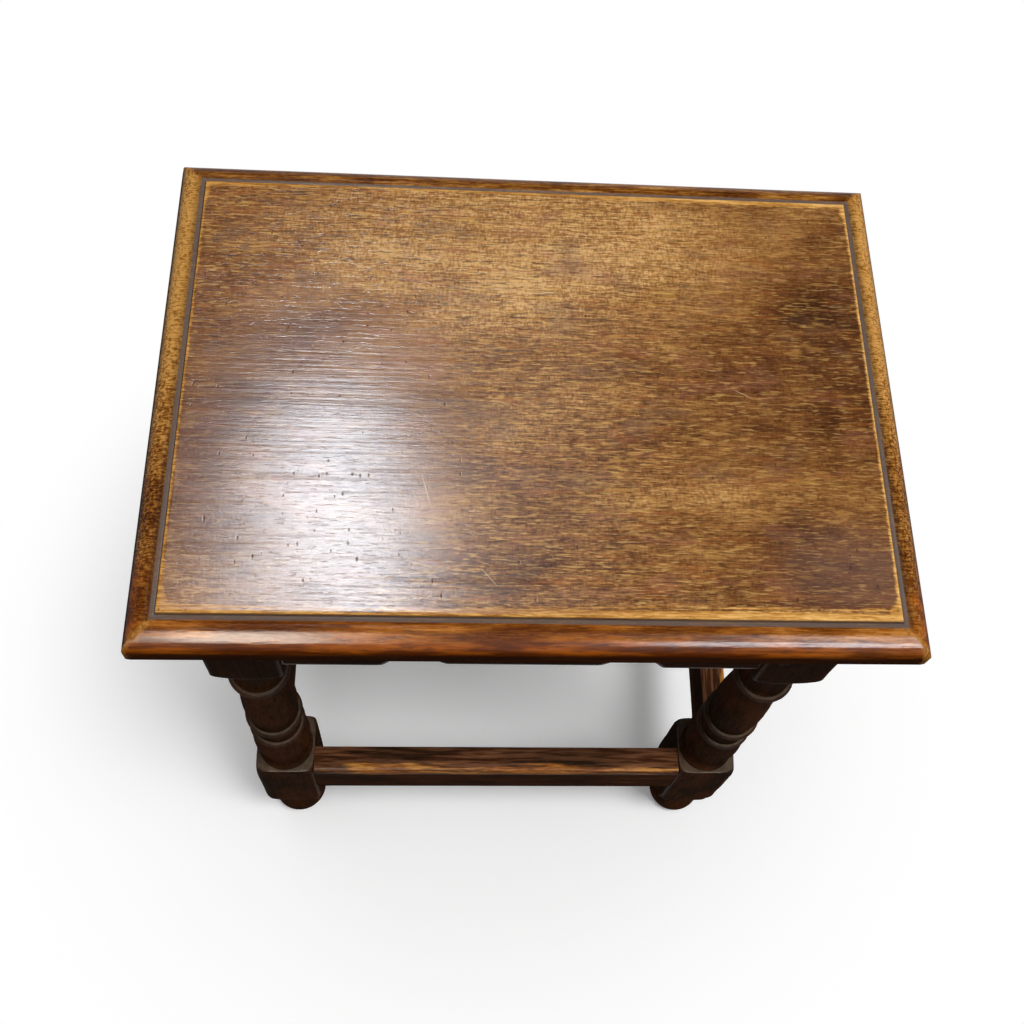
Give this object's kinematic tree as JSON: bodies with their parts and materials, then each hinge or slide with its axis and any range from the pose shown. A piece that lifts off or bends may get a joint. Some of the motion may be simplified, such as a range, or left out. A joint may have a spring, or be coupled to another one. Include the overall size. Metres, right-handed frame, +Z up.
{
  "type": "joint stool",
  "caption": "Oblong oak stool: thumb-moulded top on ring-turned legs with square blocks, shaped aprons and low stretchers, mortised, tenoned and pegged.",
  "frame": {"origin": "on the floor under the middle of the top", "axes": "+Z up, +X along the top to the right, +Y across the top from the front to the back"},
  "size_m": [0.45, 0.325, 0.555],
  "materials": {
    "top_oak": "waxed, brown-stained oak, worn to a golden tone on the edges",
    "frame_oak": "waxed, near-black stained oak with a satin sheen",
    "stretcher_oak": "dark stained oak, worn to an orange streak on the upper outer edge",
    "peg_oak": "dark stained end grain",
    "block_oak": "bare sawn oak, dusty",
    "screw_steel": "dull, slightly rusted steel"
  },
  "bodies": {
    "root": {"top_board": "top_oak", "leg_front_left": "frame_oak", "leg_front_right": "frame_oak", "leg_back_left": "frame_oak", "leg_back_right": "frame_oak", "apron_front": "frame_oak", "apron_back": "frame_oak", "apron_left": "frame_oak", "apron_right": "frame_oak", "stretcher_front": "stretcher_oak", "stretcher_back": "stretcher_oak", "stretcher_left": "stretcher_oak", "stretcher_right": "stretcher_oak", "apron_pegs_front": "peg_oak", "apron_pegs_back": "peg_oak", "apron_pegs_left": "peg_oak", "apron_pegs_right": "peg_oak", "stretcher_pegs_front": "peg_oak", "stretcher_pegs_back": "peg_oak", "stretcher_pegs_left": "peg_oak", "stretcher_pegs_right": "peg_oak", "glue_block_front_left": "block_oak", "glue_block_front_right": "block_oak", "glue_block_back_left": "block_oak", "glue_block_back_right": "block_oak", "glue_block_left": "block_oak", "glue_block_right": "block_oak", "top_screws": "screw_steel"}
  },
  "joints": []
}
